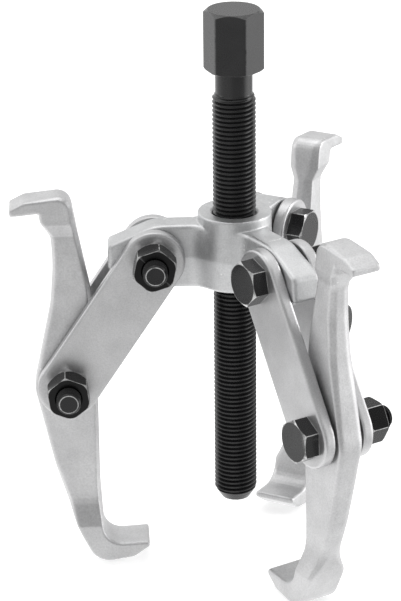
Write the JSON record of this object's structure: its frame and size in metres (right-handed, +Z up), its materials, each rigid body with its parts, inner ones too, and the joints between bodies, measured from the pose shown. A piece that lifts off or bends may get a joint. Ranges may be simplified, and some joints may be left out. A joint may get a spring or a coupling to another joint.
{
  "type": "gear puller",
  "caption": "Mechanical jaw puller: a hex-headed forcing screw in a forged yoke, strap links and reversible double-ended jaws that swing on bolts.",
  "frame": {"origin": "centre of the forcing screw's flat lower end, on the screw's axis, with the screw where it stands in the picture", "axes": "+Z up along the forcing screw towards its drive hex; arm 1 points along -X, arms 2 and 3 at 300 and 60 degrees seen from above"},
  "size_m": [0.1206, 0.1314, 0.1898],
  "materials": {
    "screw_black": "black oxide on turned and rolled steel, lightly oiled",
    "ball_steel": "polished hardened steel",
    "yoke_plating": "satin plating over a shot-blasted forging, fine grain, brighter edges",
    "jaw_plating": "satin plating over a shot-blasted forging, fine grain, ground gripping face",
    "strap_plating": "satin plating over punched plate, rolled outer rim",
    "fastener_black": "black oxide"
  },
  "bodies": {
    "yoke": {"yoke": "yoke_plating"},
    "tip": {"tip_ball": "ball_steel"},
    "screw": {"forcing_screw": "screw_black"},
    "link_1": {"strap_head_side_1": "strap_plating", "strap_nut_side_1": "strap_plating", "upper_bolt_1": "fastener_black", "upper_nut_1": "fastener_black", "lower_bolt_1": "fastener_black", "lower_nut_1": "fastener_black"},
    "jaw_1": {"jaw_1": "jaw_plating"},
    "link_2": {"strap_head_side_2": "strap_plating", "strap_nut_side_2": "strap_plating", "upper_bolt_2": "fastener_black", "upper_nut_2": "fastener_black", "lower_bolt_2": "fastener_black", "lower_nut_2": "fastener_black"},
    "jaw_2": {"jaw_2": "jaw_plating"},
    "link_3": {"strap_head_side_3": "strap_plating", "strap_nut_side_3": "strap_plating", "upper_bolt_3": "fastener_black", "upper_nut_3": "fastener_black", "lower_bolt_3": "fastener_black", "lower_nut_3": "fastener_black"},
    "jaw_3": {"jaw_3": "jaw_plating"}
  },
  "joints": [
    {"name": "screw_feed", "type": "slide", "parent": "yoke", "child": "tip", "axis": [0, 0, 1], "range_m": [-0.039, 0.075]},
    {"name": "screw_turn", "type": "hinge", "parent": "tip", "child": "screw", "pos_m": [0, 0, 0.002], "axis": [0, 0, 1], "range_deg": [-9360, 18000]},
    {"name": "link_swing_1", "type": "hinge", "parent": "yoke", "child": "link_1", "pos_m": [-0.0265, 0, 0.0879], "axis": [0, 1, 0], "range_deg": [-8, 60]},
    {"name": "jaw_swing_1", "type": "hinge", "parent": "link_1", "child": "jaw_1", "pos_m": [-0.0552, 0, 0.0442], "axis": [0, 1, 0], "range_deg": [-8, 9]},
    {"name": "link_swing_2", "type": "hinge", "parent": "yoke", "child": "link_2", "pos_m": [0.01325, -0.02295, 0.0879], "axis": [-0.866, -0.5, 0], "range_deg": [-8, 60]},
    {"name": "jaw_swing_2", "type": "hinge", "parent": "link_2", "child": "jaw_2", "pos_m": [0.0276, -0.04781, 0.0442], "axis": [-0.866, -0.5, 0], "range_deg": [-8, 9]},
    {"name": "link_swing_3", "type": "hinge", "parent": "yoke", "child": "link_3", "pos_m": [0.01325, 0.02295, 0.0879], "axis": [0.866, -0.5, 0], "range_deg": [-8, 60]},
    {"name": "jaw_swing_3", "type": "hinge", "parent": "link_3", "child": "jaw_3", "pos_m": [0.0276, 0.04781, 0.0442], "axis": [0.866, -0.5, 0], "range_deg": [-8, 9]}
  ],
  "couplings": [
    {"joint": "screw_turn", "follows": "screw_feed", "rad_per_m": 4188.8}
  ]
}
